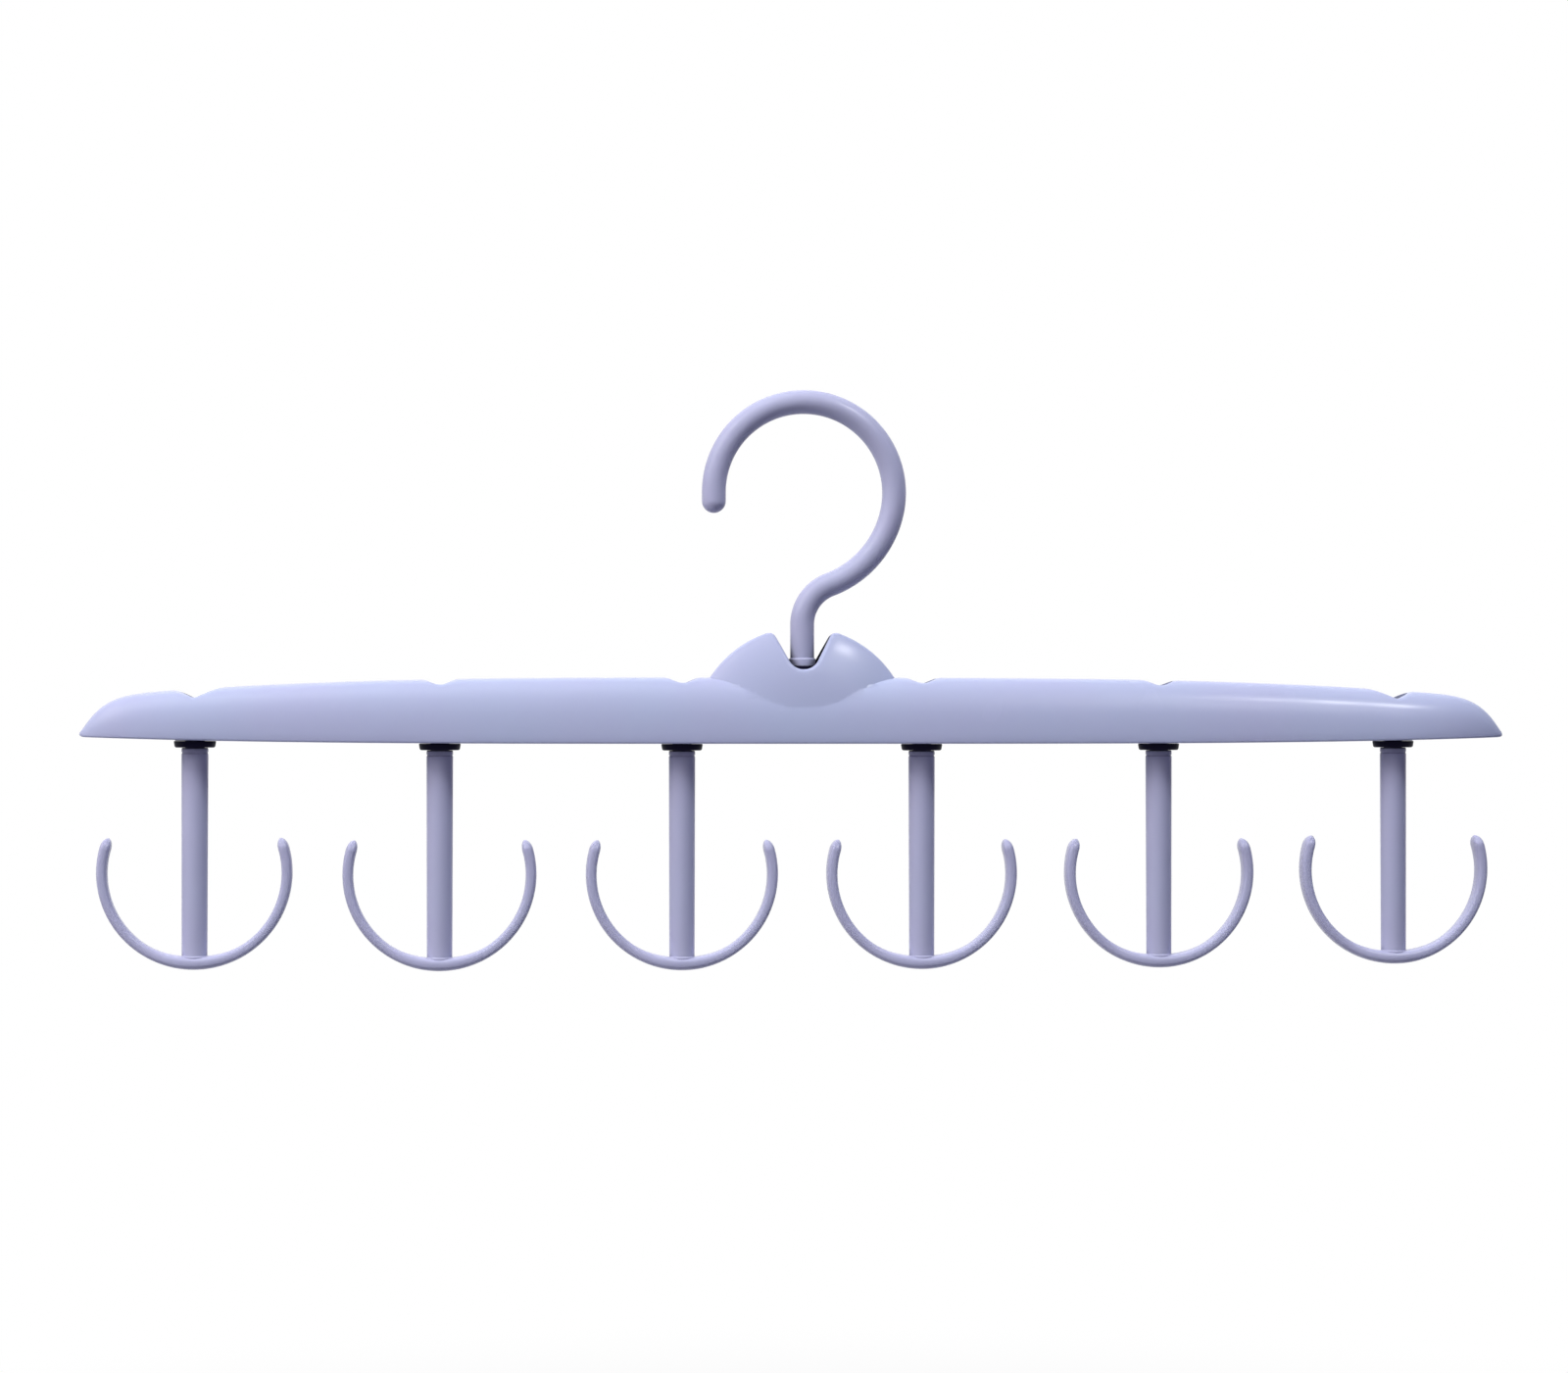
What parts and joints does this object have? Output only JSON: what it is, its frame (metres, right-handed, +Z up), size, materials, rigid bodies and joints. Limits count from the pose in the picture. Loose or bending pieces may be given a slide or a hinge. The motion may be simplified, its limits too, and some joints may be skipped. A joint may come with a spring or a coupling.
{
  "type": "rotating multi-hook hanger",
  "caption": "Plastic hanger with a bowed beam on a turning hook and a row of turning anchor-shaped double hooks for belts, ties or bags.",
  "frame": {"origin": "the highest point inside the loop of the top hook, where the hanger rests on a rail", "axes": "+Z up, +X along the beam to the right as pictured, +Y away from the viewer"},
  "size_m": [0.38, 0.017, 0.1542],
  "materials": {
    "lavender_plastic": "satin gloss moulded plastic",
    "dark_plastic": "plain near-black plastic"
  },
  "bodies": {
    "top hook": {"top_hook": "lavender_plastic"},
    "beam": {"beam": "lavender_plastic", "top_washer": "dark_plastic", "swivel_washer_1": "dark_plastic", "swivel_washer_2": "dark_plastic", "swivel_washer_3": "dark_plastic", "swivel_washer_4": "dark_plastic", "swivel_washer_5": "dark_plastic", "swivel_washer_6": "dark_plastic"},
    "double hook 1": {"double_hook_1": "lavender_plastic"},
    "double hook 2": {"double_hook_2": "lavender_plastic"},
    "double hook 3": {"double_hook_3": "lavender_plastic"},
    "double hook 4": {"double_hook_4": "lavender_plastic"},
    "double hook 5": {"double_hook_5": "lavender_plastic"},
    "double hook 6": {"double_hook_6": "lavender_plastic"}
  },
  "joints": [
    {"name": "top hook swivel", "type": "hinge", "parent": "top hook", "child": "beam", "pos_m": [0, 0, -0.06872], "axis": [0, 0, 1], "continuous": true},
    {"name": "double hook 1 swivel", "type": "hinge", "parent": "beam", "child": "double hook 1", "pos_m": [-0.16, 0, -0.08702], "axis": [0, 0, 1], "continuous": true},
    {"name": "double hook 2 swivel", "type": "hinge", "parent": "beam", "child": "double hook 2", "pos_m": [-0.096, 0, -0.08772], "axis": [0, 0, 1], "continuous": true},
    {"name": "double hook 3 swivel", "type": "hinge", "parent": "beam", "child": "double hook 3", "pos_m": [-0.032, 0, -0.08782], "axis": [0, 0, 1], "continuous": true},
    {"name": "double hook 4 swivel", "type": "hinge", "parent": "beam", "child": "double hook 4", "pos_m": [0.032, 0, -0.08782], "axis": [0, 0, 1], "continuous": true},
    {"name": "double hook 5 swivel", "type": "hinge", "parent": "beam", "child": "double hook 5", "pos_m": [0.096, 0, -0.08772], "axis": [0, 0, 1], "continuous": true},
    {"name": "double hook 6 swivel", "type": "hinge", "parent": "beam", "child": "double hook 6", "pos_m": [0.16, 0, -0.08702], "axis": [0, 0, 1], "continuous": true}
  ]
}
